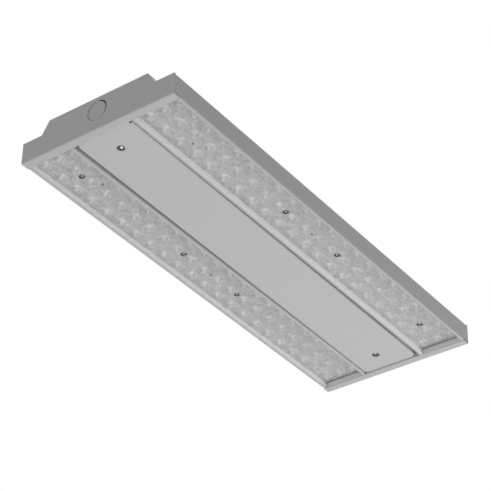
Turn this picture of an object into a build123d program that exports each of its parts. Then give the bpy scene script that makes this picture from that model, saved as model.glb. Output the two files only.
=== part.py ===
"""Linear pendant light with two strips of lens plates beside a central gear cover.

X runs along the light from its near end to its far end, Y across it from strip b to strip a,
and Z points up. The origin lies in the middle of the bottom face. All sizes are in millimetres.
"""

import math
import os

from build123d import *

# Body
body_length = 580.0
body_width = 204.0
rim_height = 27.0
ridge_height = 43.0
flank_foot_width = 152.4
ridge_top_width = 133.2
body_sheet = 1.0
body_bend = 2.4
lip_width = 4.0
lip_bend = 1.5
lip_return_gap = 0.2

# End caps
cap_sheet = 1.0
cap_bend = 1.5
cap_lip_width = 10.5
cap_return_height = 7.9
cap_tab_depth = 14.0
cap_tab_clearance = 0.1
ridge_tab_width = 96.0
shoulder_tab_width = 16.0
cap_lip_gap = 0.4
corner_slit = 1.3

# Knock-out in each end cap
knockout_radius = 12.75
knockout_height = 25.7
knockout_groove = 0.6
knockout_web = 3.0
knockout_dish = 0.4

# Trays that carry the light sources
tray_sheet = 1.0
tray_bend = 1.6
tray_floor_height = 13.0
tray_flange_height = 19.0
tray_outer_flange_height = 22.0
strip_width = 54.5
ledge_width = 4.3

# Gear cover, which sits a little askew in its opening
cover_width = 73.0
cover_sheet = 1.0
cover_bend = 2.0
cover_recess = 1.5
cover_flange_height = 6.5
cover_end_gap = 0.5
cover_corner_relief = 3.0
cover_shift = 1.0
cover_yaw = 0.3
cover_screw_pitch = 498.4
far_screw_shift = 2.5

# Boards, light sources and lens plates
lens_pitch = 25.45
lens_row_pitch = 19.0
lens_columns = 11
lens_rows = 3
board_length = 277.0
board_width = 52.0
board_thickness = 1.6
board_joint = 2.0
chip_side = 3.0
chip_height = 0.7
plate_length = 277.5
plate_thickness = 2.0
plate_joint = 1.0
plate_clearance = 0.5
plate_corner = 3.0
chip_groove_width = 5.0
chip_groove_depth = 1.0
dome_radius = 8.6
dome_waist_height = 3.2
dome_height = 5.8
dome_waist_radius = 7.4
dome_crown_radius = 4.2
dome_sides = 8

# Screws, nuts and rivets, whose round shapes have few sides
fastener_sides = 12
screw_clearance = 0.15
lens_screw_columns = 2
lens_screw_head_radius = 3.6
lens_screw_head_height = 2.2
lens_screw_radius = 1.9
lens_screw_length = 7.0
cover_screw_head_radius = 4.7
cover_screw_radius = 2.4
cover_screw_length = 8.0
cover_screw_play = 1.0
nut_height = 3.2
nut_flats = 8.0
rivet_radius = 1.6
rivet_head_radius = 3.2
rivet_head_height = 1.1
rivet_tail_height = 1.6
cap_rivet_inset = 8.0

# Bridges that hold the cover
bracket_length = 24.0
bracket_sheet = 1.2
bracket_bend = 2.0
bracket_seat_width = 30.0
bracket_shoulder_width = 44.0
bracket_shoulder_height = 9.0
bracket_tab_height = 17.5
bracket_rivet_height = 14.6
bracket_slot_length = 11.0

# Driver
driver_length = 236.0
driver_width = 60.0
driver_height = 29.0
driver_sheet = 1.2
driver_bend = 2.4
driver_tab_width = 30.0
driver_tab_length = 16.0
driver_tab_hole_inset = 7.0
driver_place = 40.0
driver_fit = 0.2
driver_terminal_length = 14.0
driver_terminal_width = 34.0
driver_terminal_height = 14.0
small_screw_radius = 1.9
small_screw_head_radius = 3.5
small_screw_head_height = 2.0

# Mains connection
block_place = -205.0
block_length = 22.0
block_width = 40.0
block_height = 17.0
block_foot_height = 5.0
block_foot_reach = 10.0
block_poles = 3
block_entry_side = 4.6
block_entry_height = 6.8
block_screw_pitch = 30.0
stud_place = -165.0
stud_offset = 22.0
stud_radius = 2.0
stud_length = 12.0
stud_flange_radius = 4.0
stud_flange_height = 1.4
earth_nut_flats = 7.0
earth_nut_height = 3.0

# Feed terminals and link connectors on the boards
feed_length = 8.0
feed_width = 5.0
feed_height = 1.6
feed_column = 8
feed_offset = 9.5
link_length = 6.0
link_width = 4.0
link_height = 1.6
plate_window_clearance = 0.5

# Openings in the ridge
suspension_pitch = 400.0
suspension_hole_radius = 3.25
grommet_place = -120.0
grommet_bore_radius = 4.0
grommet_neck_radius = 7.0
grommet_flange_radius = 9.5
grommet_flange_height = 1.6

# How far a cutter runs past the faces that it goes through
overcut = 1.0

# Places that follow from the sizes above
half_length = body_length / 2
half_width = body_width / 2
housing_half = half_length - cap_sheet
strip_outer = half_width - lip_width
strip_inner = strip_outer - strip_width
strip_middle = strip_outer - strip_width / 2
opening_half = strip_inner - ledge_width
ridge_ceiling = ridge_height - body_sheet
shoulder_ceiling = rim_height - body_sheet
shoulder_middle = (half_width + flank_foot_width / 2) / 2
cap_lip_edge = half_length - cap_lip_width
tray_half = cap_lip_edge - cap_lip_gap
board_underside = tray_floor_height - board_thickness
plate_underside = board_underside - plate_thickness
cover_inner_face = cover_recess + cover_sheet
cover_half = cap_lip_edge - cover_end_gap
bracket_place = cover_screw_pitch / 2
driver_foot = ridge_ceiling - driver_height
STRIPS = {"a": 1, "b": -1}
ENDS = {"near": -1, "far": 1}


def along_x(section, length):
    """Extrude a section drawn in the YZ plane evenly to both sides along X."""
    return extrude(Plane.YZ * section, amount=length / 2, both=True)


def folded_strip(points, bends, sheet):
    """Section of a folded sheet from its middle line's corners and the outer radius of each bend."""
    middle_line = FilletPolyline(*points, radius=[bend - sheet / 2 for bend in bends])
    return trace(middle_line, line_width=sheet)


def body_outline(inset):
    """Closed outline across the body, drawn inwards by the given inset."""
    slope_run = (flank_foot_width - ridge_top_width) / 2
    slope_rise = ridge_height - rim_height
    slope_shift = inset * (math.hypot(slope_run, slope_rise) - slope_run) / slope_rise
    foot = flank_foot_width / 2 - slope_shift
    crest = ridge_top_width / 2 - slope_shift
    side = half_width - inset
    right = [(side, 0), (side, rim_height - inset), (foot, rim_height - inset)]
    right.append((crest, ridge_height - inset))
    left = [(-y, z) for y, z in reversed(right)]
    return right + left


def upright_cylinder(radius, bottom, top, x=0.0, y=0.0):
    """Cylinder along Z between two heights."""
    return Pos(x, y, (bottom + top) / 2) * Cylinder(radius, top - bottom)


def round_hole(radius, bottom, top, x=0.0, y=0.0):
    """Cutter for a round hole along Z through a wall between two heights."""
    return upright_cylinder(radius, bottom - overcut, top + overcut, x, y)


def fastener_hole(radius, bottom, top, x, y):
    """Cutter for a fastener's hole along Z through a wall between two heights."""
    return Pos(x, y, 0) * fastener_rod(radius, bottom - overcut, top + overcut)


def box_between(low, high):
    """Box with its sides along the axes, from its low corner to its high corner."""
    size = [b - a for a, b in zip(low, high)]
    centre = [(a + b) / 2 for a, b in zip(low, high)]
    return Pos(*centre) * Box(*size)


def fastener_rod(radius, bottom, top):
    """Many-sided rod along Z between two heights, for the turned shapes of small fasteners."""
    return Pos(0, 0, bottom) * extrude(RegularPolygon(radius, fastener_sides), top - bottom)


def pan_screw(head_radius, head_height, shank_radius, shank_length):
    """Screw along Z, its head below the origin and its shank above."""
    head = fastener_rod(head_radius, -head_height, 0)
    return head + fastener_rod(shank_radius, 0, shank_length)


def blind_rivet(grip):
    """Rivet along Z, its head above the origin and its tail below what it grips."""
    head = fastener_rod(rivet_head_radius, 0, rivet_head_height)
    return head + fastener_rod(rivet_radius, -grip - rivet_tail_height, 0)


def cap_rivet_places():
    """Middle of each rivet that holds an end cap, on top of the shoulders."""
    x = housing_half - cap_rivet_inset
    return [(end * x, side * shoulder_middle) for end in ENDS.values() for side in (-1, 1)]


def cover_place():
    """The cover's small turn and sideways shift in its opening."""
    return Pos(0, cover_shift, 0) * Rot(0, 0, cover_yaw)


def cover_screw_places():
    """Middle of each cover screw, near and far, in the frame of the light."""
    places = {}
    for end, sign in ENDS.items():
        off_line = far_screw_shift if end == "far" else 0.0
        spot = cover_place() * Pos(sign * cover_screw_pitch / 2, off_line, 0)
        places[end] = (spot.position.X, spot.position.Y)
    return places


def lens_screw_ends(strip, end):
    """Column counts from the middle of the light at which a plate is screwed down."""
    outer_held = (strip == "a") == (end == "near")
    outer = lens_columns - lens_screw_columns
    return [lens_screw_columns, outer] if outer_held else [lens_screw_columns]


def lens_screw_spots(strip, end):
    """Middles of the screws that hold one lens plate and its board."""
    y = STRIPS[strip] * strip_middle
    return [(ENDS[end] * column * lens_pitch, y) for column in lens_screw_ends(strip, end)]


def lens_x(column):
    """Distance of a column of lenses from the middle of the light."""
    return (column + 0.5) * lens_pitch


def lens_spots(strip, end):
    """Middles of the lenses of one plate."""
    spots = []
    for column in range(lens_columns):
        x = ENDS[end] * lens_x(column)
        for row in range(lens_rows):
            offset = (row - (lens_rows - 1) / 2) * lens_row_pitch
            spots.append((x, STRIPS[strip] * strip_middle + offset))
    return spots


def feed_spot(strip):
    """Middle of the terminal that feeds a strip, on its near board between two lens rows."""
    x = -feed_column * lens_pitch
    return x, STRIPS[strip] * (strip_middle - feed_offset)


def housing():
    """Folded sheet with lips that turn up beside the strips, sides, shoulders, flanks and ridge."""
    middle = body_sheet / 2
    lip_edge = strip_outer + middle
    right = [(lip_edge, tray_floor_height - lip_return_gap), (lip_edge, middle)]
    right.append((half_width - middle, middle))
    right += body_outline(middle)[1:4]
    left = [(-y, z) for y, z in reversed(right)]
    bends = [lip_bend] + [body_bend] * (len(right + left) - 4) + [lip_bend]
    sheet = along_x(folded_strip(right + left, bends, body_sheet), 2 * housing_half)
    for end in ENDS.values():
        inner = cap_lip_edge - cap_lip_gap
        low = (min(end * inner, end * half_length), -body_width, -overcut)
        high = (max(end * inner, end * half_length), body_width, cap_sheet + corner_slit)
        sheet -= box_between(low, high)
    for x, y in cap_rivet_places():
        sheet -= fastener_hole(rivet_radius, shoulder_ceiling, rim_height, x, y)
    for side in (-1, 1):
        x = side * suspension_pitch / 2
        sheet -= round_hole(suspension_hole_radius, ridge_ceiling, ridge_height, x)
    sheet -= round_hole(grommet_neck_radius, ridge_ceiling, ridge_height, grommet_place)
    for x, y in ceiling_screw_spots() + [(stud_place, stud_offset)]:
        sheet -= fastener_hole(small_screw_radius, ridge_ceiling, ridge_height, x, y)
    return sheet


def ceiling_screw_spots():
    """Middles of the screws that go up into the ridge, for the driver and the terminal block."""
    return driver_screw_spots() + block_screw_spots()


def driver_screw_spots():
    """Middles of the two screws in the driver's end tabs."""
    reach = driver_length / 2 + driver_tab_length - driver_tab_hole_inset
    return [(driver_place + side * reach, 0.0) for side in (-1, 1)]


def block_screw_spots():
    """Middles of the two screws in the terminal block's feet."""
    return [(block_place, side * block_screw_pitch / 2) for side in (-1, 1)]


def knockout_cut():
    """Ring that frees the knock-out disc except at its webs, around the origin along Z."""
    ring = Cylinder(knockout_radius, 4 * cap_sheet)
    ring -= Cylinder(knockout_radius - knockout_groove, 4 * cap_sheet)
    return ring - Box(4 * knockout_radius, knockout_web, 4 * cap_sheet)


def end_cap(end):
    """Folded end with an underside lip, its return, tabs inside the housing and a knock-out."""
    sign = ENDS[end]
    face_plan = Polyline(*body_outline(0), close=True)
    face = Pos(housing_half, 0, 0) * extrude(Plane.YZ * make_face(face_plan), amount=cap_sheet)
    lip = box_between((cap_lip_edge, -half_width, 0), (half_length, half_width, cap_sheet))
    cap = face + lip
    foot = cap.edges().filter_by(Axis.Y).group_by(Axis.Z)[0].sort_by(Axis.X)[-1]
    cap = fillet(foot, cap_bend)
    cap += box_between(
        (cap_lip_edge, -strip_outer + plate_clearance, 0),
        (cap_lip_edge + cap_sheet, strip_outer - plate_clearance, cap_return_height),
    )
    inside = housing_half - cap_tab_depth
    tab_top = ridge_ceiling - cap_tab_clearance
    half_tab = ridge_tab_width / 2
    cap += box_between((inside, -half_tab, tab_top - cap_sheet), (housing_half, half_tab, tab_top))
    tab_top = shoulder_ceiling - cap_tab_clearance
    for side in (-1, 1):
        low = (inside, side * shoulder_middle - shoulder_tab_width / 2, tab_top - cap_sheet)
        high = (housing_half, side * shoulder_middle + shoulder_tab_width / 2, tab_top)
        cap += box_between(low, high)
    cap -= Pos(half_length, 0, knockout_height) * Rot(0, 90, 0) * knockout_cut()
    dish = Rot(0, 90, 0) * Cylinder(knockout_radius - knockout_groove, knockout_dish)
    cap -= Pos(half_length - knockout_dish / 2, 0, knockout_height) * dish
    for x, y in cap_rivet_places():
        if x > 0:
            cap -= fastener_hole(rivet_radius, tab_top - cap_sheet, tab_top, x, y)
    return cap if sign > 0 else Rot(0, 0, 180) * cap


def led_tray(strip):
    """Folded channel of one strip, with the ledge and flange beside the gear cover."""
    middle = tray_sheet / 2
    outer = half_width - body_sheet - middle
    inner = strip_inner - middle
    points = [
        (outer, tray_outer_flange_height),
        (outer, tray_floor_height + middle),
        (inner, tray_floor_height + middle),
        (inner, middle),
        (opening_half + middle, middle),
        (opening_half + middle, tray_flange_height),
    ]
    bends = [tray_bend] * (len(points) - 2)
    tray = along_x(folded_strip(points, bends, tray_sheet), 2 * tray_half)
    for end in ENDS:
        for x, y in lens_screw_spots("a", end):
            floor_top = tray_floor_height + tray_sheet
            tray -= fastener_hole(lens_screw_radius, tray_floor_height, floor_top, x, y)
    for sign in ENDS.values():
        rivet_hole = Rot(90, 0, 0) * fastener_rod(rivet_radius, -2 * tray_sheet, 2 * tray_sheet)
        tray -= Pos(sign * bracket_place, opening_half, bracket_rivet_height) * rivet_hole
    return tray if strip == "a" else Rot(0, 0, 180) * tray


def led_board(strip, end):
    """Aluminium board of one lens plate, with a hole for each screw."""
    sign = ENDS[end]
    middle = sign * (board_joint / 2 + board_length / 2)
    height = board_underside + board_thickness / 2
    board = Pos(middle, STRIPS[strip] * strip_middle, height) * Box(
        board_length, board_width, board_thickness
    )
    for x, y in lens_screw_spots(strip, end):
        hole_radius = lens_screw_radius + screw_clearance
        board -= fastener_hole(hole_radius, board_underside, tray_floor_height, x, y)
    return board


def led_chips():
    """Light sources, one behind each lens."""
    chips = []
    for strip in STRIPS:
        for end in ENDS:
            for x, y in lens_spots(strip, end):
                height = board_underside - chip_height / 2
                chips.append(Pos(x, y, height) * Box(chip_side, chip_side, chip_height))
    return Compound(children=chips)


def dome_ring(radius, height):
    """Corners of a lens dome at one radius and at a height below the origin."""
    turns = [(corner + 0.5) * 2 * math.pi / dome_sides for corner in range(dome_sides)]
    return [(radius * math.cos(turn), radius * math.sin(turn), -height) for turn in turns]


def flat_face(corners):
    """Flat face between corners in space."""
    return make_face(Polyline(*corners, close=True))


def lens_dome():
    """Flat-sided lens dome that hangs from the origin, with steep sides and a flatter crown."""
    foot = dome_ring(dome_radius, 0)
    waist = dome_ring(dome_waist_radius, dome_waist_height)
    crown = dome_ring(dome_crown_radius, dome_height)
    faces = [flat_face(foot), flat_face(crown)]
    for upper, lower in ((foot, waist), (waist, crown)):
        for corner in range(dome_sides):
            last = corner - 1
            faces.append(flat_face([upper[last], upper[corner], lower[corner], lower[last]]))
    return Solid(Shell(faces))


def lens_blank():
    """Plate of the far end before its holes, with its strip's middle line on the X axis."""
    middle = (plate_joint + plate_length) / 2
    plan = RectangleRounded(plate_length, strip_width - 2 * plate_clearance, plate_corner)
    plate = Pos(middle, 0, plate_underside) * extrude(plan, plate_thickness)
    dome = lens_dome()
    domes = []
    for row in range(lens_rows):
        y = (row - (lens_rows - 1) / 2) * lens_row_pitch
        groove = Box(plate_length + overcut, chip_groove_width, 2 * chip_groove_depth)
        plate -= Pos(middle, y, board_underside) * groove
        domes += [Pos(lens_x(column), y, plate_underside) * dome for column in range(lens_columns)]
    return plate + domes


def lens_plate(blank, strip, end):
    """Clear plate with a dome under each light source and grooves that clear the sources."""
    turned = blank if end == "far" else Rot(0, 0, 180) * blank
    plate = Pos(0, STRIPS[strip] * strip_middle, 0) * turned
    for x, y in lens_screw_spots(strip, end):
        hole_radius = lens_screw_radius + screw_clearance
        plate -= fastener_hole(hole_radius, plate_underside, board_underside, x, y)
    if end == "near":
        plate -= window(*feed_spot(strip), feed_length, feed_width)
    return plate - window(0, STRIPS[strip] * strip_middle, link_length, link_width)


def window(x, y, length, width):
    """Cutter through a lens plate that clears a connector of the given length and width."""
    play = 2 * plate_window_clearance
    middle = board_underside - plate_thickness / 2
    return Pos(x, y, middle) * Box(length + play, width + play, plate_thickness + overcut)


def feed_terminals():
    """Terminal on the near board of each strip."""
    terminals = []
    for strip in STRIPS:
        x, y = feed_spot(strip)
        block = Pos(x, y, board_underside - feed_height / 2) * Box(
            feed_length, feed_width, feed_height
        )
        terminals.append(block)
    return Compound(children=terminals)


def link_connectors():
    """Connector that bridges the two boards of each strip."""
    links = []
    for side in STRIPS.values():
        y = side * strip_middle
        links.append(
            Pos(0, y, board_underside - link_height / 2) * Box(link_length, link_width, link_height)
        )
    return Compound(children=links)


def lens_screws():
    """Screws through plate, board and tray floor."""
    screws = []
    for strip in STRIPS:
        for end in ENDS:
            for x, y in lens_screw_spots(strip, end):
                screw = pan_screw(
                    lens_screw_head_radius, lens_screw_head_height, lens_screw_radius, lens_screw_length
                )
                screws.append(Pos(x, y, plate_underside) * screw)
    return Compound(children=screws)


def gear_cover():
    """Shallow folded tray with open corners and one hole near each end."""
    middle = cover_sheet / 2
    level = cover_recess + middle
    edge = cover_width / 2 - middle
    top = cover_recess + cover_flange_height
    points = [(-edge, top), (-edge, level), (edge, level), (edge, top)]
    cover = along_x(folded_strip(points, [cover_bend] * 2, cover_sheet), 2 * cover_half)
    flange = box_between(
        (cover_half - cover_sheet, -cover_width / 2, level),
        (cover_half, cover_width / 2, top),
    )
    cover = cover + flange + Rot(0, 0, 180) * flange
    for x_sign in (-1, 1):
        for y_sign in (-1, 1):
            corner = Pos(x_sign * cover_half, y_sign * cover_width / 2, cover_recess)
            relief = Box(2 * cover_corner_relief, 2 * cover_corner_relief, 4 * cover_flange_height)
            cover -= corner * relief
    cover = cover_place() * cover
    for x, y in cover_screw_places().values():
        radius = cover_screw_radius + cover_screw_play
        cover -= fastener_hole(radius, cover_recess, cover_inner_face, x, y)
    return cover


def cover_screws():
    """Screws with low heads that hold the cover, their heads level with the end lips."""
    screws = []
    for x, y in cover_screw_places().values():
        screw = pan_screw(
            cover_screw_head_radius, cover_recess, cover_screw_radius, cover_screw_length
        )
        screws.append(Pos(x, y, cover_recess) * screw)
    return Compound(children=screws)


def cover_bracket(end):
    """Folded bridge between the trays with a seat for the cover and a slot for its screw."""
    middle = bracket_sheet / 2
    seat = cover_inner_face + middle
    reach = opening_half - middle
    shoulder = bracket_shoulder_height + middle
    right = [
        (bracket_seat_width / 2, seat),
        (bracket_shoulder_width / 2, shoulder),
        (reach, shoulder),
        (reach, bracket_tab_height),
    ]
    left = [(-y, z) for y, z in reversed(right)]
    bends = [bracket_bend] * (2 * len(right) - 2)
    bracket = along_x(folded_strip(left + right, bends, bracket_sheet), bracket_length)
    bracket = Pos(ENDS[end] * bracket_place, 0, 0) * bracket
    x, y = cover_screw_places()[end]
    slot_width = 2 * (cover_screw_radius + screw_clearance)
    slot = extrude(SlotOverall(bracket_slot_length, slot_width, 90), bracket_shoulder_height)
    bracket -= Pos(x, y, 0) * slot
    for side in (-1, 1):
        reach = 2 * bracket_sheet
        rivet_hole = Rot(90, 0, 0) * fastener_rod(rivet_radius, -reach, reach)
        spot = Pos(ENDS[end] * bracket_place, side * (opening_half - middle), bracket_rivet_height)
        bracket -= spot * rivet_hole
    return bracket


def hexagon_nut(flats, height, bore):
    """Nut along Z standing on the origin."""
    plan = RegularPolygon(flats / 2, 6, major_radius=False) - Circle(bore)
    return extrude(plan, height)


def cover_nuts():
    """Nut above each bridge's seat."""
    seat_top = cover_inner_face + bracket_sheet
    nut = hexagon_nut(nut_flats, nut_height, cover_screw_radius)
    return Compound(children=[Pos(x, y, seat_top) * nut for x, y in cover_screw_places().values()])


def bracket_rivets():
    """Rivets that join the bridges to the tray flanges, with their heads inside the gear space."""
    rivets = []
    for end in ENDS.values():
        for side in (-1, 1):
            rivet = blind_rivet(bracket_sheet + tray_sheet)
            seat = side * (opening_half - bracket_sheet)
            place = Pos(end * bracket_place, seat, bracket_rivet_height) * Rot(side * 90, 0, 0)
            rivets.append(place * rivet)
    return Compound(children=rivets)


def end_cap_rivets():
    """Rivets through the housing into the tabs of the end caps."""
    grip = body_sheet + cap_tab_clearance + cap_sheet
    rivet = Pos(0, 0, rim_height) * blind_rivet(grip)
    return Compound(children=[Pos(x, y, 0) * rivet for x, y in cap_rivet_places()])


def driver_base():
    """Folded channel with an end tab at each end, held against the inside of the ridge."""
    middle = driver_sheet / 2
    side = driver_width / 2 - middle
    low = driver_foot + driver_sheet + driver_fit
    points = [(-side, low), (-side, ridge_ceiling - middle), (side, ridge_ceiling - middle)]
    points.append((side, low))
    channel_length = driver_length - 2 * (driver_sheet + driver_fit)
    base = along_x(folded_strip(points, [driver_bend] * 2, driver_sheet), channel_length)
    tab_half = driver_length / 2 + driver_tab_length
    base += box_between(
        (-tab_half, -driver_tab_width / 2, ridge_ceiling - driver_sheet),
        (tab_half, driver_tab_width / 2, ridge_ceiling),
    )
    base = Pos(driver_place, 0, 0) * base
    for x, y in driver_screw_spots():
        radius = small_screw_radius + screw_clearance
        base -= fastener_hole(radius, ridge_ceiling - driver_sheet, ridge_ceiling, x, y)
    return base


def driver_lid():
    """Folded lid that closes the driver from below and at its ends."""
    outer = (driver_length / 2, driver_width / 2 + driver_fit + driver_sheet)
    low = driver_foot
    high = ridge_ceiling - driver_sheet - driver_fit
    lid = box_between((-outer[0], -outer[1], low), (outer[0], outer[1], high))
    inner = (outer[0] - driver_sheet, outer[1] - driver_sheet)
    hollow_top = high + overcut
    lid -= box_between((-inner[0], -inner[1], low + driver_sheet), (inner[0], inner[1], hollow_top))
    for end in (-1, 1):
        gap = Box(
            4 * driver_sheet,
            driver_terminal_width + 2 * driver_fit,
            driver_terminal_height + 2 * driver_fit,
        )
        height = low + driver_sheet + driver_fit + driver_terminal_height / 2
        lid -= Pos(end * outer[0], 0, height) * gap
    return Pos(driver_place, 0, 0) * lid


def driver_terminals():
    """Terminal housing in the opening at each end of the driver."""
    terminals = []
    for end in (-1, 1):
        x = driver_place + end * (driver_length / 2 - driver_terminal_length / 2)
        z = driver_foot + driver_sheet + driver_terminal_height / 2
        body = Pos(x, 0, z) * Box(
            driver_terminal_length, driver_terminal_width, driver_terminal_height
        )
        for pole in range(block_poles):
            y = (pole - (block_poles - 1) / 2) * driver_terminal_width / block_poles
            entry = Box(driver_terminal_length, block_entry_side, block_entry_side)
            body -= Pos(x + end * driver_terminal_length / 2, y, z) * entry
        terminals.append(body)
    return Compound(children=terminals)


def ceiling_screws(spots, carried):
    """Screws through what they carry into the ridge, their tips level with its top."""
    shank = carried + body_sheet
    screw = pan_screw(small_screw_head_radius, small_screw_head_height, small_screw_radius, shank)
    seat = ridge_ceiling - carried
    return Compound(children=[Pos(x, y, seat) * screw for x, y in spots])


def terminal_block():
    """Moulded block with a wire entry for each pole on both faces and a foot at each side."""
    body = box_between(
        (-block_length / 2, -block_width / 2 + block_foot_reach, 0),
        (block_length / 2, block_width / 2 - block_foot_reach, block_height),
    )
    foot = box_between(
        (-block_length / 2, -block_width / 2, block_height - block_foot_height),
        (block_length / 2, block_width / 2, block_height),
    )
    block = body + foot
    inner_width = block_width - 2 * block_foot_reach
    for pole in range(block_poles):
        y = (pole - (block_poles - 1) / 2) * inner_width / block_poles
        entry = Box(block_length + overcut, block_entry_side, block_entry_side)
        block -= Pos(0, y, block_entry_height) * entry
    block = Pos(block_place, 0, ridge_ceiling - block_height) * block
    for x, y in block_screw_spots():
        radius = small_screw_radius + screw_clearance
        block -= fastener_hole(radius, ridge_ceiling - block_foot_height, ridge_ceiling, x, y)
    return block


def earth_stud():
    """Stud pressed into the ridge, with its flange against the inside."""
    flange = fastener_rod(stud_flange_radius, ridge_ceiling - stud_flange_height, ridge_ceiling)
    shank = fastener_rod(stud_radius, ridge_ceiling - stud_length, ridge_ceiling)
    neck = fastener_rod(small_screw_radius, ridge_ceiling, ridge_height)
    return Pos(stud_place, stud_offset, 0) * (flange + shank + neck)


def earth_nut():
    """Nut on the earth stud, against its flange."""
    nut = hexagon_nut(earth_nut_flats, earth_nut_height, stud_radius)
    bottom = ridge_ceiling - stud_flange_height - earth_nut_height
    return Pos(stud_place, stud_offset, bottom) * nut


def cable_grommet():
    """Bush that lines the cable entry, with its flange inside and its mouth level with the ridge."""
    sides = [
        (grommet_bore_radius, ridge_ceiling - grommet_flange_height),
        (grommet_flange_radius, ridge_ceiling - grommet_flange_height),
        (grommet_flange_radius, ridge_ceiling),
        (grommet_neck_radius, ridge_ceiling),
        (grommet_neck_radius, ridge_height),
        (grommet_bore_radius, ridge_height),
    ]
    section = make_face(Polyline(*sides, close=True))
    return Pos(grommet_place, 0, 0) * revolve(Plane.XZ * section, Axis.Z)


def build_nodes():
    """All pieces of the light by name."""
    nodes = {"housing": housing()}
    blank = lens_blank()
    for end in ENDS:
        nodes[f"end_cap_{end}"] = end_cap(end)
        nodes[f"cover_bracket_{end}"] = cover_bracket(end)
    for strip in STRIPS:
        nodes[f"led_tray_{strip}"] = led_tray(strip)
        for end in ENDS:
            nodes[f"led_board_{strip}_{end}"] = led_board(strip, end)
            nodes[f"lens_plate_{strip}_{end}"] = lens_plate(blank, strip, end)
    nodes["led_chips"] = led_chips()
    nodes["feed_terminals"] = feed_terminals()
    nodes["link_connectors"] = link_connectors()
    nodes["lens_screws"] = lens_screws()
    nodes["gear_cover"] = gear_cover()
    nodes["cover_screws"] = cover_screws()
    nodes["cover_nuts"] = cover_nuts()
    nodes["bracket_rivets"] = bracket_rivets()
    nodes["end_cap_rivets"] = end_cap_rivets()
    nodes["driver_base"] = driver_base()
    nodes["driver_lid"] = driver_lid()
    nodes["driver_terminals"] = driver_terminals()
    nodes["driver_screws"] = ceiling_screws(driver_screw_spots(), driver_sheet)
    nodes["terminal_block"] = terminal_block()
    nodes["terminal_block_screws"] = ceiling_screws(block_screw_spots(), block_foot_height)
    nodes["earth_stud"] = earth_stud()
    nodes["earth_nut"] = earth_nut()
    nodes["cable_grommet"] = cable_grommet()
    return nodes


def main():
    os.makedirs("parts", exist_ok=True)
    for name, shape in build_nodes().items():
        export_step(shape, f"parts/{name}.step")


if __name__ == "__main__":
    main()
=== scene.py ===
import math

import bmesh
import bpy
from bpy.props import FloatProperty, FloatVectorProperty, IntProperty, PointerProperty
from mathutils import Euler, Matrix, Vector


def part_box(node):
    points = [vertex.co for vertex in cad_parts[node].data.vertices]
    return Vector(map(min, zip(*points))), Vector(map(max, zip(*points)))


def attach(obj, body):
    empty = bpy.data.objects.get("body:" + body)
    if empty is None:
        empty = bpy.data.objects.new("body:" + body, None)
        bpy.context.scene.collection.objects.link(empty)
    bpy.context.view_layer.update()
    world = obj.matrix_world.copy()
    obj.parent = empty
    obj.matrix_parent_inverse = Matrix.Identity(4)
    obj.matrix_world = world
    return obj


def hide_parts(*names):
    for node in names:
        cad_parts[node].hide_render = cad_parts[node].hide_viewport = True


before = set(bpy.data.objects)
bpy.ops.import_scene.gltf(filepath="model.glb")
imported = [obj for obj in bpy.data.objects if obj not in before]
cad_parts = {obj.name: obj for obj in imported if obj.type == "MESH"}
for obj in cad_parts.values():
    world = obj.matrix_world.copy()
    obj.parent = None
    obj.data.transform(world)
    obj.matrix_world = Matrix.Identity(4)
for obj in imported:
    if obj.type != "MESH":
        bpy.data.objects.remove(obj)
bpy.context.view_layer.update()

bl_info = {
    "name": "Linear pendant light",
    "version": (1, 0, 0),
    "blender": (4, 5, 0),
    "location": "3D View > Sidebar > Pendant light",
    "description": "Dresses a linear pendant light of folded sheet with clear lens plates",
    "category": "Object",
}

MM = 0.001
STRIPS = ("a", "b")
ENDS = {"near": -1, "far": 1}
BOARD_NODES = [f"led_board_{strip}_{end}" for strip in STRIPS for end in ENDS]

# Corners closer than this are one, in a CAD mesh and in a new shape
CAD_MERGE = 1e-6
MERGE = 1e-7

# Coated sheet: the least angle of a cut edge, and the greatest between flush faces
CUT_EDGE = math.radians(50)
FLUSH = math.radians(0.3)

# Half-punched disc of an end cap: where its corners are and how they are moved
DISC_MIDDLE = Vector((0, 0, 25.7 * MM))
DISC_DEPTHS = (288.9 * MM, 289.8 * MM)
DISC_REACH = 12.3 * MM
DISC_SCALE = 0.965
DISC_SHIFT = Vector((0, 0.55 * MM, -0.12 * MM))

# Painted light that makes the walls of the recesses paler where shade falls: the widths that its
# masks span and the places where it fades
PAINTED_LIGHT_SPAN_X = 300 * MM
PAINTED_LIGHT_SPAN_Y = 200 * MM
PAINTED_LIGHT_SPAN_Z = 20 * MM
PAINTED_LIGHT_FOOT = 0.8 * MM
PAINTED_LIGHT_TOP = (12.4 * MM, 13.2 * MM)
PAINTED_LIGHT_SIDE = (98.5 * MM, 99 * MM)
PAINTED_LIGHT_END = (288.3 * MM, 288.6 * MM)
BETWEEN_STRIPS = (-39.2 * MM, 41 * MM)

# Lens plates: their place across the light, their edges and the level between their faces
STRIP_MIDDLE = 70.75 * MM
STRIP_WIDTH = 54 * MM
PLATE_HALF_WIDTH = 27.15 * MM
PLATE_JOINT = 0.05 * MM
PLATE_LEVEL = 9 * MM
# Rings of corners in a lens, as shares of its radius
LENS_RINGS = (0.0, 0.2, 0.42, 0.64, 0.84, 1.0)

# Openings in a plate's underside, and how far round each one its web is cut
WELL_RADIUS = 3.95 * MM
SCREW_HOLE_RADIUS = 2.05 * MM
WELL_REACH = 8.5 * MM
WIRE_HOLE_HALF = 1.3 * MM
WIRE_HOLE_REACH = 9 * MM
WIRE_HOLE_SHIFTS = {"feed_terminals": -2.4 * MM, "link_connectors": 0.0}
TERMINAL_CLEARANCE = 0.5 * MM
TERMINAL_OVERHANG = 3 * MM

# Marks in the clear plastic: the radii of the painted highlights over the lenses' crowns and round
# their rims, and of the pale spot on the web
CROWN_HIGHLIGHT = 2.5 * MM
RIM_HIGHLIGHT = 7.4 * MM
WEB_SPOT = 7.5 * MM

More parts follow.
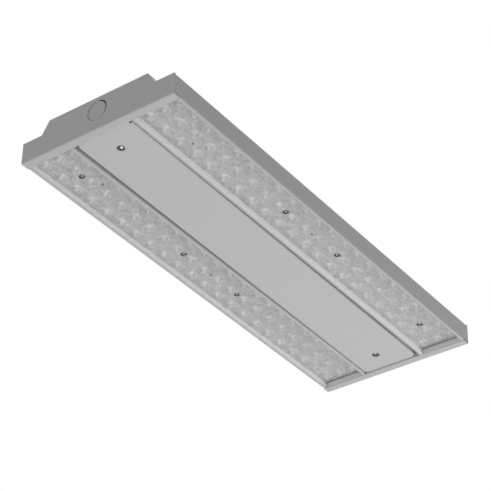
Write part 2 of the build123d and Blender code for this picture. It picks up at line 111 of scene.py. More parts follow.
# Screws in millimetres: piece, CAD node, radius and length of the shank, span of the recess
SCREWS = {
    "lens": ("lens_plate_screws", "lens_screws", 1.9, 7.0, 2.2),
    "cover": ("gear_cover_screws", "cover_screws", 2.4, 8.0, 3.4),
}
# Outline of a head, as shares of its radius and height from the middle to the rim
CROWN = ((0.16, 0.97), (0.40, 0.84), (0.64, 0.65), (0.84, 0.42), (0.96, 0.20), (1.0, 0.06))
# Thread: height of its start and its pitch in millimetres, root as a share of the radius
THREAD_START = 0.5
THREAD_PITCH = 0.8
THREAD_ROOT = 0.82
# Cross recess: width as a share of its span, depth of its middle as a share of the head's
# height, size of its floor against its mouth, and its turn in radians
RECESS_WIDTH = 0.22
RECESS_DEPTH = 0.85
RECESS_TAPER = (0.35, 0.7, 1.0)
RECESS_TURN = 0.5

# Outline of a blind rivet: radius and height above the sheet in millimetres
RIVET_OUTLINE = (
    (0, 0.35), (0.85, 0.35), (0.95, 0.85), (1.3, 1.1), (2.1, 1.0), (2.8, 0.7), (3.15, 0.3),
    (3.2, 0.0), (1.6, 0.0), (1.6, -3.2), (1.2, -3.7), (0, -3.7))
RIVET_HEIGHT = 1.1 * MM

# Lamps: name, setting of the power, place, aim, size, and whether it lights matt surfaces
LAMPS = (
    ("far_lamp", "lamp_power", (1.25, -0.75, -0.95), (0.1, 0, 0), (1.0, 1.0), True),
    ("gloss_lamp", "spark_power", (0.29, 0.21, -1.65), (0, 0, 0), (0.8, 0.9), False),
    ("top_lamp", "top_power", (0, 0, 2.0), (0, 0, 0), (0.8, 0.8), True))
FLOOR_HALF_WIDTH = 2.5

# Camera at the photograph's viewing angle: metres, and degrees about X, Y and Z
CAMERA_PLACE = (-1.353725, -0.984638, -1.148601)
CAMERA_TURN = (124.93140, -0.73193, -53.89481)


# Sizes and colours that a user would change

class PaintSettings(bpy.types.PropertyGroup):
    """Powder coat of the folded sheet."""

    colour: FloatVectorProperty(
        name="Colour", description="Colour of the powder coat", subtype="COLOR",
        default=(0.492, 0.494, 0.494), min=0.0, max=1.0)
    roughness: FloatProperty(
        name="Roughness", description="How matt the coat is", subtype="FACTOR", default=0.5,
        min=0.0, max=1.0)
    # Painted light: how much paler the coat is made on the strips' recess walls and on the end
    # caps' inner faces, where shade falls
    strip_painted_light: FloatProperty(
        name="Strip painted light", description="How much paler the inner walls of the strips are",
        default=1.75, min=0.0)
    end_painted_light: FloatProperty(
        name="End painted light", description="How much paler the inner faces of the end caps are",
        default=1.4, min=0.0)
    # Painted light: the cover's coat is the same paint made paler, so that it renders brighter
    cover_painted_light: FloatProperty(
        name="Cover painted light", description="How much paler the gear cover is", default=1.08, min=0.0)
    peel_size: FloatProperty(
        name="Peel size", description="Size of the coat's fine ripples", unit="LENGTH",
        default=1.6 * MM, min=0.0001)
    peel_depth: FloatProperty(
        name="Peel depth", description="Height of the coat's fine ripples", unit="LENGTH",
        default=0.012 * MM, min=0.0)
    edge_round: FloatProperty(
        name="Edge rounding", description="Radius of the coated edges of the sheet", unit="LENGTH",
        default=0.25 * MM, min=0.0)


class LensSettings(bpy.types.PropertyGroup):
    """Clear lens plates and what lies behind them."""

    pitch: FloatProperty(
        name="Pitch", description="Spacing of the lenses along a strip", unit="LENGTH",
        default=25.45 * MM)
    row_pitch: FloatProperty(
        name="Row pitch", description="Spacing of the rows of lenses", unit="LENGTH",
        default=19 * MM)
    columns: IntProperty(name="Columns", description="Lenses along one plate", default=11, min=1)
    rows: IntProperty(
        name="Rows", description="Rows of lenses across one plate", default=3, min=1)
    foot_radius: FloatProperty(
        name="Foot radius", description="Radius of a lens where it meets its plate", unit="LENGTH",
        default=9.3 * MM)
    height: FloatProperty(
        name="Height", description="Height of a lens below its plate", unit="LENGTH",
        default=3.0 * MM)
    sides: IntProperty(name="Sides", description="Segments round one lens", default=16, min=8)
    pocket_radius: FloatProperty(
        name="Pocket radius", description="Radius of the pocket over a light source",
        unit="LENGTH", default=2.7 * MM)
    pocket_depth: FloatProperty(
        name="Pocket depth", description="Depth of the pocket over a light source",
        unit="LENGTH", default=1.0 * MM)
    web: FloatProperty(
        name="Web", description="Thickness of the plate between the lenses", unit="LENGTH",
        default=3.8 * MM, min=0.0)
    seat: FloatProperty(
        name="Seat", description="Thickness of the plate under a screw's head", unit="LENGTH",
        default=2.0 * MM, min=0.0)
    air_gap: FloatProperty(
        name="Air gap", description="Gap between a plate and its board", unit="LENGTH",
        default=0.08 * MM, min=0.0)
    tint: FloatVectorProperty(
        name="Tint", description="Tone of the hazy clear plastic", subtype="COLOR",
        default=(0.665, 0.667, 0.667), min=0.0, max=1.0)
    clearness: FloatProperty(
        name="Clearness", description="Share of the light that passes straight through the plastic",
        subtype="FACTOR", default=0.35, min=0.0, max=1.0)
    board_colour: FloatVectorProperty(
        name="Board colour", description="Colour of the boards behind the lenses", subtype="COLOR",
        default=(0.55, 0.55, 0.545), min=0.0, max=1.0)


class FastenerSettings(bpy.types.PropertyGroup):
    """Heads of the screws that show."""

    lens_head_radius: FloatProperty(
        name="Lens screw head radius", description="Radius of the screws' heads on the lens plates",
        unit="LENGTH", default=3.6 * MM)
    lens_head_height: FloatProperty(
        name="Lens screw head height", description="Height of the screws' heads on the lens plates",
        unit="LENGTH", default=2.2 * MM)
    cover_head_radius: FloatProperty(
        name="Cover screw head radius", description="Radius of the cover screws' heads",
        unit="LENGTH", default=4.7 * MM)
    cover_head_height: FloatProperty(
        name="Cover screw head height", description="Height of the cover screws' heads",
        unit="LENGTH", default=1.5 * MM)
    # Painted reflection: the screws' steel is made dark so that the heads show the dark reflection
    # of their surroundings
    colour: FloatVectorProperty(
        name="Colour", description="Colour of the screws' painted dark reflection", subtype="COLOR",
        default=(0.095, 0.095, 0.098), min=0.0, max=1.0)


class StageSettings(bpy.types.PropertyGroup):
    """Floor, surroundings, lamps and camera."""

    floor_height: FloatProperty(
        name="Floor height", description="Height of the floor below the hanging light",
        unit="LENGTH", default=-2.6)
    below: FloatProperty(
        name="Light from below", description="Brightness of the surroundings below", default=0.72)
    above: FloatProperty(
        name="Light from above", description="Brightness of the surroundings above", default=0.12)
    shift: FloatVectorProperty(
        name="Shift", description="How much brighter the surroundings are along X and along Y",
        size=2, default=(-0.12, 0.07))
    lamp_power: FloatProperty(
        name="Lamp power", description="Power of the large lamp beyond the far end",
        unit="POWER", default=8.5)
    spark_power: FloatProperty(
        name="Gloss lamp power", description="Power of the lamp below that gives gloss only",
        unit="POWER", default=22.0)
    top_power: FloatProperty(
        name="Top lamp power", description="Power of the lamp above", unit="POWER", default=17.0)
    camera_lens: FloatProperty(
        name="Lens length", description="Focal length of the camera in millimetres",
        unit="CAMERA", default=131.38)


# Shader maths

class Value:
    """A socket of a finish that ordinary operators work on."""

    def __init__(self, finish, socket):
        self.finish = finish
        self.socket = socket

    def __add__(self, other):
        return self.finish.maths("ADD", self, other)

    __radd__ = __add__

    def __mul__(self, other):
        return self.finish.maths("MULTIPLY", self, other)

    __rmul__ = __mul__

    def __sub__(self, other):
        return self.finish.maths("SUBTRACT", self, other)

    def __rsub__(self, other):
        return self.finish.maths("SUBTRACT", other, self)

    def __truediv__(self, other):
        return self.finish.maths("DIVIDE", self, other)

    def __rtruediv__(self, other):
        return self.finish.maths("DIVIDE", other, self)


class Finish:
    """A node tree under construction."""

    def __init__(self, owner):
        owner.use_nodes = True
        self.owner = owner
        self.tree = owner.node_tree
        self.shader = self.tree.nodes.get("Principled BSDF")

    def node(self, kind, settings=None, stops=None, **values):
        """Add a node, set its settings, then the values or links of its sockets."""
        made = self.tree.nodes.new(kind)
        for name, setting in (settings or {}).items():
            setattr(made, name, setting)
        if stops:
            ramp = made.color_ramp
            while len(ramp.elements) < len(stops):
                ramp.elements.new(0.5)
            for element, (place, grey) in zip(ramp.elements, stops):
                element.position = place
                element.color = (grey, grey, grey, 1.0)
        self.fill(made, values)
        return made

    def fill(self, made, values):
        """Fill sockets of a node, each named with underscores for its spaces."""
        for name, value in values.items():
            self.put(made.inputs[name.replace("_", " ")], value)

    def put(self, socket, value):
        """Link a value to a socket, or set the socket to a number or colour."""
        if isinstance(value, Value):
            self.tree.links.new(value.socket, socket)
        else:
            socket.default_value = value

    def out(self, made, name=0):
        """One output of a node as a value."""
        return Value(self, made.outputs[name])

    def maths(self, operation, first, second=0.0):
        """A Math node on two numbers or values."""
        made = self.node("ShaderNodeMath", {"operation": operation})
        self.put(made.inputs[0], first)
        self.put(made.inputs[1], second)
        return self.out(made)

    def place(self):
        """Where a point lies on the object, in metres."""
        return self.out(self.node("ShaderNodeTexCoord"), "Object")

    def axes(self, vector):
        """The X, Y and Z of a vector."""
        made = self.node("ShaderNodeSeparateXYZ", Vector=vector)
        return [self.out(made, axis) for axis in "XYZ"]

    def noise(self, size, detail=2.0, stretch=None):
        """Cloudy noise from 0 to 1 whose patches are about as large as size."""
        where = self.place()
        if stretch:
            where = self.out(self.node("ShaderNodeMapping", Vector=where, Scale=stretch))
        made = self.node("ShaderNodeTexNoise", Vector=where, Scale=1.0 / size, Detail=detail)
        return self.out(made, "Fac")

    def cells(self, size):
        """Distance to the nearest of many scattered points."""
        made = self.node("ShaderNodeTexVoronoi", Vector=self.place(), Scale=1.0 / size)
        return self.out(made, "Distance")

    def blend(self, factor, first, second):
        """A colour between two colours."""
        made = self.node("ShaderNodeMix", {"data_type": "RGBA"})
        self.put(made.inputs["Factor"], factor)
        self.put(made.inputs[6], first)
        self.put(made.inputs[7], second)
        return self.out(made, 2)

    def tones(self, level, colour, dark, light):
        """A colour between a darker and a lighter tone of it."""
        return self.blend(level, shade(colour, dark), shade(colour, light))

    def ramp(self, value, *stops):
        """A number that runs through the given stops of place and level."""
        return self.out(self.node("ShaderNodeValToRGB", stops=stops, Fac=value))

    def spot(self, along, across, radius):
        """1 at the middle of a round spot, falling smoothly to 0 at its radius."""
        return self.ramp(
            self.span(along, across) / radius, (0.0, 1.0), (0.35, 0.85), (0.75, 0.15), (1.0, 0.0))

    def ring(self, along, across, radius):
        """1 on a round line, falling smoothly to 0 inside it and at its radius."""
        return self.ramp(
            self.span(along, across) / radius, (0.55, 0.0), (0.80, 0.35), (0.92, 1.0),
            (0.97, 0.5), (1.0, 0.0))

    def span(self, along, across):
        """Length of a line with the given reach along and across."""
        return self.maths("SQRT", along * along + across * across)

    def bump(self, height, depth, strength=1.0):
        """A normal that follows a height from 0 to 1, scaled to a depth in metres."""
        made = self.node("ShaderNodeBump", Height=height, Distance=depth, Strength=strength)
        return self.out(made, "Normal")


def shade(colour, factor):
    """Opaque colour made lighter or darker by a factor."""
    return tuple(min(channel * factor, 1.0) for channel in tuple(colour)[:3]) + (1.0,)


def surface(name, colour, roughness, metallic=0.0, **fixed):
    """New material that is the same all over, for the finishes below to vary."""
    finish = Finish(bpy.data.materials.new(name))
    plain = {"Base_Color": shade(colour, 1.0), "Roughness": roughness, "Metallic": metallic}
    finish.fill(finish.shader, {**plain, **fixed})
    return finish


def tune(finish, colour, roughness, normal):
    """Give a finish the colour, gloss and relief that change over the surface."""
    finish.fill(finish.shader, {"Base_Color": colour, "Roughness": roughness, "Normal": normal})
    return finish.owner


# Finishes

def painted_light_mask(finish, foot, left_out):
    """Where light is painted: 1 on the inner walls of the strips' recesses, 0 above them and
    outside the body.

    It starts a foot above the bottom face, and leaves out what lies between the two places across
    the light that left_out gives.
    """
    x, y, z = finish.axes(finish.place())
    depth = finish.ramp(
        z / PAINTED_LIGHT_SPAN_Z, (foot / PAINTED_LIGHT_SPAN_Z, 0.0), (2 * foot / PAINTED_LIGHT_SPAN_Z, 1.0),
        (PAINTED_LIGHT_TOP[0] / PAINTED_LIGHT_SPAN_Z, 1.0), (PAINTED_LIGHT_TOP[1] / PAINTED_LIGHT_SPAN_Z, 0.0))
    full, gone = PAINTED_LIGHT_SIDE
    stops = [(-gone, 0.0), (-full, 1.0), (full, 1.0), (gone, 0.0)]
    if left_out:
        low, high = left_out
        stops[2:2] = [(low - 0.2 * MM, 1.0), (low, 0.0), (high, 0.0), (high + 0.5 * MM, 1.0)]
    side = finish.ramp(
        y / PAINTED_LIGHT_SPAN_Y + 0.5, *((place / PAINTED_LIGHT_SPAN_Y + 0.5, level) for place, level in stops))
    full, gone = PAINTED_LIGHT_END
    end = finish.ramp(
        finish.maths("ABSOLUTE", x) / PAINTED_LIGHT_SPAN_X, (full / PAINTED_LIGHT_SPAN_X, 1.0),
        (gone / PAINTED_LIGHT_SPAN_X, 0.0))
    return depth * (side * end)


def powder_coat(name, colour, settings, painted_light=None, foot=PAINTED_LIGHT_FOOT, left_out=None):
    """Fine satin powder coat with faint clouding, made paler by a factor on the walls of recesses,
    as painted light where shade falls.
    """
    finish = surface(name, colour, settings.roughness, Specular_IOR_Level=0.2)
    clouds = finish.noise(0.09, 3.0)
    grain = finish.noise(0.0007, 2.0)
    shift = (clouds - 0.5) * 0.06 + (grain - 0.5) * 0.05 + 0.5
    coat = finish.tones(shift, colour, 0.93, 1.07)
    if painted_light:
        coat = finish.blend(painted_light_mask(finish, foot, left_out), coat, shade(colour, painted_light))
    roughness = settings.roughness + (finish.noise(0.02) - 0.5) * 0.10
    ripples = finish.noise(settings.peel_size, 3.0)
    return tune(finish, coat, roughness, finish.bump(ripples, settings.peel_depth))


def clear_plastic(name, settings):
    """Hazy clear moulded plastic with flow waves, painted highlights and painted shade.

    The painted highlights are a pale spot over each lens's crown and a pale ring round each lens,
    standing in for gloss in the lenses; a pale spot also lies on the web between four lenses, and
    as painted shade the tone grows darker towards the -Y side of each strip.
    """
    finish = surface(
        name, settings.tint, 0.1, Transmission_Weight=settings.clearness, IOR=1.49,
        Specular_IOR_Level=0.25)
    x, y = finish.axes(finish.place())[:2]
    along = finish.maths("PINGPONG", x / settings.pitch, 0.5)
    side = finish.maths("ABSOLUTE", y)
    rows_out = STRIP_MIDDLE / settings.row_pitch
    across = finish.maths("PINGPONG", side / settings.row_pitch - rows_out + 4, 0.5)
    from_lens = ((0.5 - along) * settings.pitch, across * settings.row_pitch)
    from_web = (along * settings.pitch, (0.5 - across) * settings.row_pitch)
    # Painted highlights: a pale spot over each lens's crown and a pale ring round each lens
    source = finish.spot(*from_lens, CROWN_HIGHLIGHT)
    rim = finish.ring(*from_lens, RIM_HIGHLIGHT)
    web = finish.spot(*from_web, WEB_SPOT)
    swirl = finish.noise(0.0030, 5.0, stretch=(0.8, 1.0, 1.0))
    # Painted shade: the tone grows darker towards the -Y side of each strip
    strip_a = finish.ramp(y / (200 * MM) + 0.5, (0.49, 0.0), (0.51, 1.0))
    painted_slant_shade = (y + STRIP_MIDDLE - strip_a * 2 * STRIP_MIDDLE) / STRIP_WIDTH
    tone = 0.30 + (swirl - 0.5) * 1.9 + source * 0.45 + rim * 0.25 + web * 0.08 + painted_slant_shade * 0.3
    flow = finish.noise(0.0032, 2.0, stretch=(0.7, 1.0, 1.0))
    return tune(
        finish, finish.tones(tone, settings.tint, 0.74, 1.30), 0.30 + 0.14 * swirl,
        finish.bump(flow, 0.4 * MM))


def solder_mask(name, settings):
    """Matt white board with raised copper tracks under the mask."""
    finish = surface(name, settings.board_colour, 0.55, Specular_IOR_Level=0.3)
    y = finish.axes(finish.place())[1]
    across = finish.maths("PINGPONG", y / settings.row_pitch, 0.5)
    track = finish.ramp(across, (0.0, 0.0), (0.20, 0.0), (0.23, 1.0), (0.40, 1.0), (0.43, 0.0))
    speck = finish.noise(0.0011, 3.0)
    tone = 0.5 + (track - 0.5) * 0.25 + (speck - 0.5) * 0.3
    return tune(
        finish, finish.tones(tone, settings.board_colour, 0.94, 1.05), 0.5 + 0.15 * speck,
        finish.bump(track, 0.03 * MM, 0.6))


def cast_metal(name, colour, roughness, size, spread=0.12):
    """Metal whose tone, gloss and relief vary in patches of one size."""
    finish = surface(name, colour, roughness, 1.0)
    patches = finish.noise(size, 3.0)
    fine = finish.noise(size * 0.2, 2.0)
    tone = patches * 0.6 + fine * 0.4
    return tune(
        finish, finish.tones(tone, colour, 1 - spread, 1 + spread),
        roughness - 0.08 + 0.16 * patches, finish.bump(fine, 0.01 * MM, 0.5))


def zinc_plate(name):
    """Galvanised sheet with spangles."""
    colour = (0.52, 0.53, 0.55)
    finish = surface(name, colour, 0.38, 1.0)
    spangle = finish.cells(0.006)
    grain = finish.noise(0.0006)
    tone = spangle * 0.5 + grain * 0.3
    return tune(
        finish, finish.tones(tone, colour, 0.84, 1.14), 0.28 + 0.2 * spangle,
        finish.bump(grain, 0.006 * MM, 0.6))


def moulded(name, colour, roughness, grain=0.0009, depth=0.012 * MM):
    """Moulded plastic or rubber with a fine eroded grain."""
    finish = surface(name, colour, roughness, Specular_IOR_Level=0.4)
    sparks = finish.noise(grain, 3.0)
    clouds = finish.noise(0.02, 2.0)
    return tune(
        finish, finish.tones(clouds, colour, 0.94, 1.06), roughness - 0.06 + 0.12 * clouds,
        finish.bump(sparks, depth, 0.6))


# Mesh helpers

def mesh_of(bm, name):
    """Finished mesh of a mesh under construction."""
    mesh = bpy.data.meshes.new(name)
    bm.to_mesh(mesh)
    bm.free()
    return mesh


def merged_copy(node):
    """Copy of a CAD node's mesh with its loose triangles joined."""
    bm = bmesh.new()
    bm.from_mesh(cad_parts[node].data)
    bmesh.ops.remove_doubles(bm, verts=bm.verts[:], dist=CAD_MERGE)
    return bm


def shift_by(bm, verts, x=0.0, y=0.0, z=0.0):
    """Move some vertices."""
    bmesh.ops.translate(bm, verts=verts, vec=(x, y, z))


def verts_in(geom):
    """The vertices among what an operator returns."""
    return [item for item in geom if isinstance(item, bmesh.types.BMVert)]


def open_edges(geom):
    """The edges of a hole or rim among what an operator returns."""
    return [item for item in geom if isinstance(item, bmesh.types.BMEdge) and item.is_boundary]


def turn_round(bm, geom, steps):
    """Full turn of an outline about Z, with its seam and poles closed."""
    bmesh.ops.spin(
        bm, geom=geom, cent=(0, 0, 0), axis=(0, 0, 1), dvec=(0, 0, 0), angle=2 * math.pi,
        steps=steps, use_merge=True, use_normal_flip=False, use_duplicate=False)
    bmesh.ops.remove_doubles(bm, verts=bm.verts[:], dist=MERGE)


def soften(bm, edges, offset, segments=2):
    """Round some edges of a mesh."""
    bmesh.ops.bevel(
        bm, geom=edges, offset=offset, offset_type="OFFSET", affect="EDGES",
        segments=segments, profile=0.5, material=-1, clamp_overlap=True)


def lathe(profile, steps):
    """Closed turned shape about Z from its outline of radius and height in millimetres."""
    bm = bmesh.new()
    verts = [bm.verts.new((radius * MM, 0.0, height * MM)) for radius, height in profile]
    edges = [bm.edges.new(pair) for pair in zip(verts, verts[1:])]
    if profile[0][0] > 0:
        edges.append(bm.edges.new((verts[-1], verts[0])))
    turn_round(bm, verts + edges, steps)
    bmesh.ops.recalc_face_normals(bm, faces=bm.faces[:])
    return bm


def copies(unit, places):
    """One mesh with a copy of a unit at each place, in metres."""
    mesh = mesh_of(unit, "unit")
    bm = bmesh.new()
    for place in places:
        before = len(bm.verts)
        bm.from_mesh(mesh)
        bm.verts.ensure_lookup_table()
        bmesh.ops.translate(bm, verts=bm.verts[before:], vec=place)
    bpy.data.meshes.remove(mesh)
    return bm


def add_piece(name, bm, material, nodes=(), sharp=35.0):
    """Finished piece at the origin that rides on the light and stands for its CAD nodes."""
    mesh = mesh_of(bm, name)
    mesh.polygons.foreach_set("use_smooth", [True] * len(mesh.polygons))
    mesh.set_sharp_from_angle(angle=math.radians(sharp))
    mesh.materials.append(material)
    piece = bpy.data.objects.new(name, mesh)
    bpy.context.scene.collection.objects.link(piece)
    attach(piece, "root")
    if nodes:
        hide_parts(*nodes)
    return piece


def dress_nodes(nodes, material):
    """Give CAD nodes that stay their finish."""
    for node in nodes:
        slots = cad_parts[node].data.materials
        slots.clear()
        slots.append(material)


def cut_away(shape, cutters):
    """Mesh of one shape less the others, all given as meshes under construction."""
    holders = []
    for part in [shape] + cutters:
        holder = bpy.data.objects.new("cut", mesh_of(part, "cut"))
        bpy.context.scene.collection.objects.link(holder)
        holders.append(holder)
    for cutter in holders[1:]:
        modifier = holders[0].modifiers.new("cut", "BOOLEAN")
        modifier.operation = "DIFFERENCE"
        modifier.solver = "EXACT"
        modifier.object = cutter
    ready = holders[0].evaluated_get(bpy.context.evaluated_depsgraph_get())
    cut = bpy.data.meshes.new_from_object(ready)
    bm = bmesh.new()
    bm.from_mesh(cut)
    if not bm.verts:
        raise RuntimeError("the cut left nothing of the shape")
    for holder in holders:
        mesh = holder.data
        bpy.data.objects.remove(holder)
        bpy.data.meshes.remove(mesh)
    bpy.data.meshes.remove(cut)
    return bm


def solid_boxes(node):
    """Lowest and highest corner of each separate solid of a CAD node, in order of place."""
    bm = merged_copy(node)
    left = set(bm.verts)
    boxes = []
    while left:
        front = [left.pop()]
        low, high = front[0].co.copy(), front[0].co.copy()
        while front:
            here = front.pop()
            low = Vector(map(min, low, here.co))
            high = Vector(map(max, high, here.co))
            for link in here.link_edges:
                other = link.other_vert(here)
                if other in left:
                    left.remove(other)
                    front.append(other)
        boxes.append((low, high))
    bm.free()
    return sorted(boxes, key=lambda box: (round(box[0].x, 4), round(box[0].y, 4)))


# Pieces

def loosen_knockout(bm):
    """Set the half-punched disc of an end cap a little smaller and off the middle of its hole."""
    for vert in bm.verts:
        gap = Vector((0, vert.co.y - DISC_MIDDLE.y, vert.co.z - DISC_MIDDLE.z))
        if DISC_DEPTHS[0] < abs(vert.co.x) < DISC_DEPTHS[1] and gap.length < DISC_REACH:
            moved = DISC_MIDDLE + gap * DISC_SCALE + DISC_SHIFT
            vert.co.y, vert.co.z = moved.y, moved.z


def sheet_copy(node, rounding=0.0):
    """Copy of a folded sheet with merged corners and softened cut edges."""
    bm = merged_copy(node)
    if "end_cap" in node:
        loosen_knockout(bm)
    bmesh.ops.dissolve_limit(bm, angle_limit=FLUSH, verts=bm.verts[:], edges=bm.edges[:])
    if rounding:
        soften(bm, [edge for edge in bm.edges if edge.calc_face_angle(0.0) > CUT_EDGE], rounding)
    return bm


def lens_cell(settings, underside, top):
    """One lens with its share of the plate's underside and the pocket over its source."""
    bm = bmesh.new()
    profile = []
    for share in LENS_RINGS:
        drop = settings.height * (0.5 + 0.5 * math.cos(share * math.pi))
        profile.append(bm.verts.new((settings.foot_radius * share, 0, underside - drop)))
    edges = [bm.edges.new(pair) for pair in zip(profile, profile[1:])]
    turn_round(bm, profile + edges, settings.sides)
    grown = bmesh.ops.extrude_edge_only(bm, edges=open_edges(bm.edges))["geom"]
    for vert in verts_in(grown):
        reach = max(abs(vert.co.x), abs(vert.co.y))
        vert.co.x = settings.pitch / 2 * vert.co.x / reach
        vert.co.y = settings.row_pitch / 2 * vert.co.y / reach
    pocket = bmesh.ops.create_circle(
        bm, cap_ends=True, cap_tris=False, segments=settings.sides,
        radius=settings.pocket_radius)
    shift_by(bm, pocket["verts"], z=top)
    cap = pocket["verts"][0].link_faces[0]
    deep = bmesh.ops.extrude_face_region(bm, geom=[cap])["geom"]
    bmesh.ops.delete(bm, geom=[cap], context="FACES_ONLY")
    shift_by(bm, verts_in(deep), z=-settings.pocket_depth)
    return bm


def is_web(face):
    """Whether a face lies in the flat underside of a plate."""
    return abs(face.normal.z) > 0.999 and face.calc_center_median().z < PLATE_LEVEL


def open_plate(bm, middle, planes, reach, inside):
    """Cut an opening through the flat web round a point and return the edges round it."""
    for normal, distance in planes:
        flat = [
            face for face in bm.faces
            if is_web(face) and (face.calc_center_median() - middle).xy.length < reach]
        geom = [item for face in flat for item in (face, *face.edges, *face.verts)]
        bmesh.ops.bisect_plane(
            bm, geom=list(dict.fromkeys(geom)), dist=MERGE,
            plane_co=middle + Vector(normal) * distance, plane_no=normal, clear_inner=False,
            clear_outer=False)
        bm.normal_update()
    gone = [
        face for face in bm.faces if is_web(face) and inside(face.calc_center_median() - middle)]
    before = set(open_edges(bm.edges))
    bmesh.ops.delete(bm, geom=gone, context="FACES")
    return [edge for edge in open_edges(bm.edges) if edge not in before]


def deepen(bm, rim, z, middle, scale, shift=0.0):
    """Wall from an opening's edges up to a height, then a ledge out or in to a new outline."""
    grown = bmesh.ops.extrude_edge_only(bm, edges=rim)["geom"]
    for vert in verts_in(grown):
        vert.co.z = z
    grown = bmesh.ops.extrude_edge_only(bm, edges=open_edges(grown))["geom"]
    for vert in verts_in(grown):
        vert.co.x = middle.x + shift + (vert.co.x - middle.x) * scale[0]
        vert.co.y = middle.y + (vert.co.y - middle.y) * scale[1]


def screw_well(bm, middle, seat, sides=16):
    """Well for a screw's head in the underside of a plate, with its seat and hole."""
    turns = [2 * math.pi * side / sides for side in range(sides)]
    planes = [((math.cos(turn), math.sin(turn), 0), WELL_RADIUS) for turn in turns]
    rim = open_plate(bm, middle, planes, WELL_REACH, lambda gap: gap.xy.length < WELL_RADIUS)
    scale = SCREW_HOLE_RADIUS / WELL_RADIUS
    deepen(bm, rim, seat, middle, (scale, scale))


def wire_hole(bm, middle, size, shift, seat):
    """Small square hole in the underside of a plate that widens over a terminal."""
    half = WIRE_HOLE_HALF
    planes = [((-1, 0, 0), half), ((1, 0, 0), half), ((0, -1, 0), half), ((0, 1, 0), half)]
    hole = middle + Vector((shift, 0, 0))
    rim = open_plate(
        bm, hole, planes, WIRE_HOLE_REACH, lambda gap: max(abs(gap.x), abs(gap.y)) < half)
    scale = [(length / 2 + TERMINAL_CLEARANCE) / half for length in size.xy]
    deepen(bm, rim, seat, hole, scale, -shift)


def trim_plate(bm, low, high, middle_y, sign):
    """Cut the grid of lenses off at the plate's ends and long edges."""
    first, last = (low[0], -PLATE_JOINT) if sign < 0 else (PLATE_JOINT, high[0])
    limits = [
        ((first, 0, 0), (-1, 0, 0)), ((last, 0, 0), (1, 0, 0)),
        ((0, middle_y - PLATE_HALF_WIDTH, 0), (0, -1, 0)),
        ((0, middle_y + PLATE_HALF_WIDTH, 0), (0, 1, 0))]
    for point, normal in limits:
        bmesh.ops.bisect_plane(
            bm, geom=bm.verts[:] + bm.edges[:] + bm.faces[:], dist=MERGE, plane_co=point,
            plane_no=normal, clear_inner=False, clear_outer=True)
    bm.normal_update()


def close_plate(bm, top):
    """Edges of the plate and walls of its openings up to its top, and the top itself."""
    rim = [edge for edge in open_edges(bm.edges) if edge.verts[0].co.z < top - 0.5 * MM]
    grown = bmesh.ops.extrude_edge_only(bm, edges=rim)["geom"]
    for vert in verts_in(grown):
        vert.co.z = top
    bmesh.ops.remove_doubles(bm, verts=bm.verts[:], dist=MERGE)
    bmesh.ops.triangle_fill(
        bm, use_beauty=True, use_dissolve=False, edges=open_edges(bm.edges))
    bmesh.ops.recalc_face_normals(bm, faces=bm.faces[:])


def lens_plate_mesh(settings, strip, end):
    """Closed clear plate with round lenses below and pockets above."""
    low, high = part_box(f"lens_plate_{strip}_{end}")
    underside, top = high[2] - settings.web, high[2] - settings.air_gap
    seat = high[2] - settings.seat
    middle_y = (low[1] + high[1]) / 2
    places = []
    for column in range(settings.columns):
        for row in range(settings.rows):
            offset = (row - (settings.rows - 1) / 2) * settings.row_pitch
            places.append((ENDS[end] * (column + 0.5) * settings.pitch, middle_y + offset, 0))
    bm = copies(lens_cell(settings, underside, top), places)
    bmesh.ops.remove_doubles(bm, verts=bm.verts[:], dist=CAD_MERGE)
    trim_plate(bm, low, high, middle_y, ENDS[end])
    for box in solid_boxes("lens_screws"):
        place = (box[0] + box[1]) / 2
        if low[0] < place.x < high[0] and low[1] < place.y < high[1]:
            screw_well(bm, Vector((place.x, place.y, underside)), seat)
    first, last = low[0] - TERMINAL_OVERHANG, high[0] + TERMINAL_OVERHANG
    for terminals, shift in WIRE_HOLE_SHIFTS.items():
        for box in solid_boxes(terminals):
            place = (box[0] + box[1]) / 2
            if first < place.x < last and abs(place.y - middle_y) < PLATE_HALF_WIDTH:
                middle = Vector((place.x, place.y, underside))
                wire_hole(bm, middle, box[1] - box[0], shift, seat)
    close_plate(bm, top)
    return bm


def sunken_blocks(node, rounding, segments, rim, sink):
    """Softened block with a sunken lower face in place of each solid of a CAD node."""
    boxes = solid_boxes(node)
    unit = bmesh.new()
    bmesh.ops.create_cube(unit, size=1.0)
    bmesh.ops.scale(unit, vec=boxes[0][1] - boxes[0][0], verts=unit.verts[:])
    soften(unit, unit.edges[:], rounding, segments)
    face = min(unit.faces, key=lambda item: item.calc_center_median().z)
    bmesh.ops.inset_region(unit, faces=[face], thickness=rim, depth=-sink)
    return copies(unit, [(low + high) / 2 for low, high in boxes])


def screw_mesh(head_radius, head_height, shank_radius, shank_length, recess_span):
    """Screw with a domed head below the origin, a cross recess and a threaded shank above.

    The head's sizes are in metres, the shank's and the recess's in millimetres.
    """
    profile = [(0, -head_height / MM)]
    profile += [(head_radius / MM * reach, -head_height / MM * level) for reach, level in CROWN]
    profile += [(head_radius / MM, 0), (shank_radius, 0)]
    level = THREAD_START
    while level < shank_length - THREAD_PITCH:
        profile += [
            (shank_radius * THREAD_ROOT, level), (shank_radius, level + THREAD_PITCH / 2)]
        level += THREAD_PITCH
    profile += [
        (shank_radius * 0.8, shank_length - 0.3), (shank_radius * 0.5, shank_length),
        (0, shank_length)]
    arms = []
    for turned in (0.0, math.pi / 2):
        arm = bmesh.new()
        bmesh.ops.create_cube(arm, size=1.0)
        size = (recess_span * MM, RECESS_WIDTH * recess_span * MM, head_height)
        bmesh.ops.scale(arm, vec=size, verts=arm.verts[:])
        inner = [vert for vert in arm.verts if vert.co.z > 0]
        bmesh.ops.scale(arm, vec=RECESS_TAPER, verts=inner)
        shift_by(arm, arm.verts[:], z=-head_height * RECESS_DEPTH)
        bmesh.ops.rotate(
            arm, verts=arm.verts[:], cent=(0, 0, 0),
            matrix=Euler((0, 0, turned + RECESS_TURN)).to_matrix())
        arms.append(arm)
    return cut_away(lathe(profile, 32), arms)


